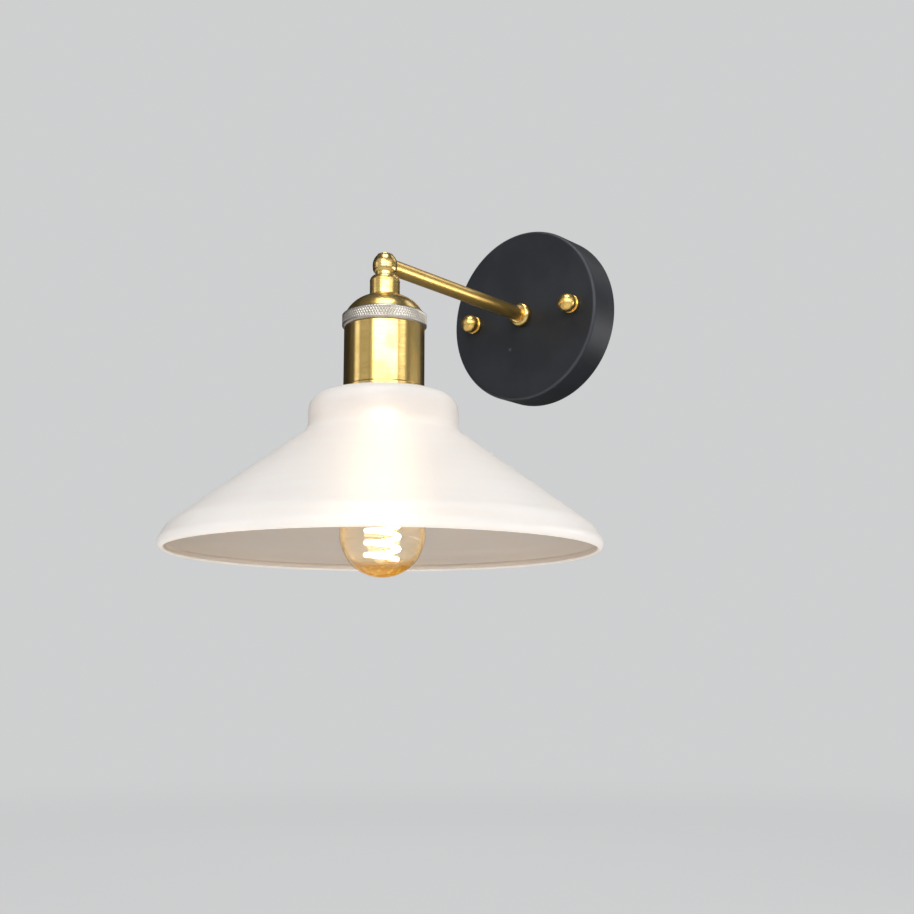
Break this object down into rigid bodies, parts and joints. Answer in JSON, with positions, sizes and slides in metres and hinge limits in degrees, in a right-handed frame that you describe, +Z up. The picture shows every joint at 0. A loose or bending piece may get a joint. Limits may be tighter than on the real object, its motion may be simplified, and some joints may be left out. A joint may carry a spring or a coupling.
{
  "type": "wall sconce",
  "caption": "Wall sconce with a round backplate, straight arm, swivelling socket and downward conical frosted glass shade round a tubular bulb.",
  "frame": {"origin": "on the wall plane at the axis of the arm, midway between the strap's two screw slots", "axes": "+X to the right for someone facing the wall, +Y into the wall, +Z up"},
  "size_m": [0.2158, 0.2464, 0.2092],
  "materials": {
    "satin_brass": "satin, brushed round the lamp's axis",
    "polished_brass": "polished",
    "knurled_brass": "pale, diamond knurled",
    "black_paint": "matte powder coat",
    "zinc_plate": "zinc plated",
    "contact_brass": "bare",
    "white_plastic": "matte",
    "porcelain": "glazed",
    "fibre_washer": "fibre",
    "frosted_glass": "frosted opal",
    "amber_glass": "clear amber",
    "bulb_metal": "stamped",
    "black_vitrite": "black glass",
    "clear_stem": "clear",
    "glow_filament": "lit",
    "brown_sleeve": "cable sleeve",
    "blue_sleeve": "cable sleeve",
    "green_sleeve": "cable sleeve"
  },
  "bodies": {
    "wall_plate": {"backplate": "black_paint", "mounting_strap": "zinc_plate", "stud_screws": "zinc_plate", "stud_lock_nuts": "zinc_plate", "ball_cap_nuts": "polished_brass", "terminal_block": "white_plastic", "terminal_screws": "zinc_plate", "terminal_block_screw": "zinc_plate", "earth_screw": "zinc_plate", "earth_wire": "green_sleeve", "arm_tube": "satin_brass", "arm_collar": "satin_brass", "arm_washer": "zinc_plate", "arm_nut": "zinc_plate", "ball_connector": "satin_brass", "swivel_nut": "zinc_plate", "live_wire": "brown_sleeve", "neutral_wire": "blue_sleeve"},
    "lamp_head": {"swivel_coupler": "satin_brass", "swivel_washer": "fibre_washer", "coupler_nut": "zinc_plate", "holder_cap": "satin_brass", "knurled_ring": "knurled_brass", "holder_shell": "satin_brass", "porcelain_body": "porcelain", "screw_shell": "contact_brass", "centre_contact": "contact_brass", "holder_terminals": "contact_brass", "holder_terminal_screws": "zinc_plate", "shade_sleeve": "contact_brass", "upper_shade_washer": "fibre_washer", "glass_shade": "frosted_glass", "lower_shade_washer": "fibre_washer", "shade_ring": "contact_brass", "head_live_wire": "brown_sleeve", "head_neutral_wire": "blue_sleeve"},
    "bulb_tip": {"bulb_tip": "bulb_metal"},
    "bulb": {"bulb_cap": "bulb_metal", "bulb_insulator": "black_vitrite", "bulb_glass": "amber_glass", "bulb_stem": "clear_stem", "bulb_leads": "bulb_metal", "bulb_filament": "glow_filament"}
  },
  "joints": [
    {"name": "head_swivel", "type": "hinge", "parent": "wall_plate", "child": "lamp_head", "pos_m": [0, -0.1385, -0.01], "axis": [0, 0, 1], "range_deg": [-160, 160]},
    {"name": "bulb_drop", "type": "slide", "parent": "lamp_head", "child": "bulb_tip", "axis": [0, 0, -1], "range_m": [0, 0.025]},
    {"name": "bulb_turn", "type": "hinge", "parent": "bulb_tip", "child": "bulb", "pos_m": [0, -0.1385, -0.05], "axis": [0, 0, -1], "range_deg": [0, 2485]}
  ],
  "couplings": [
    {"joint": "bulb_turn", "follows": "bulb_drop", "rad_per_m": 1731.4}
  ]
}
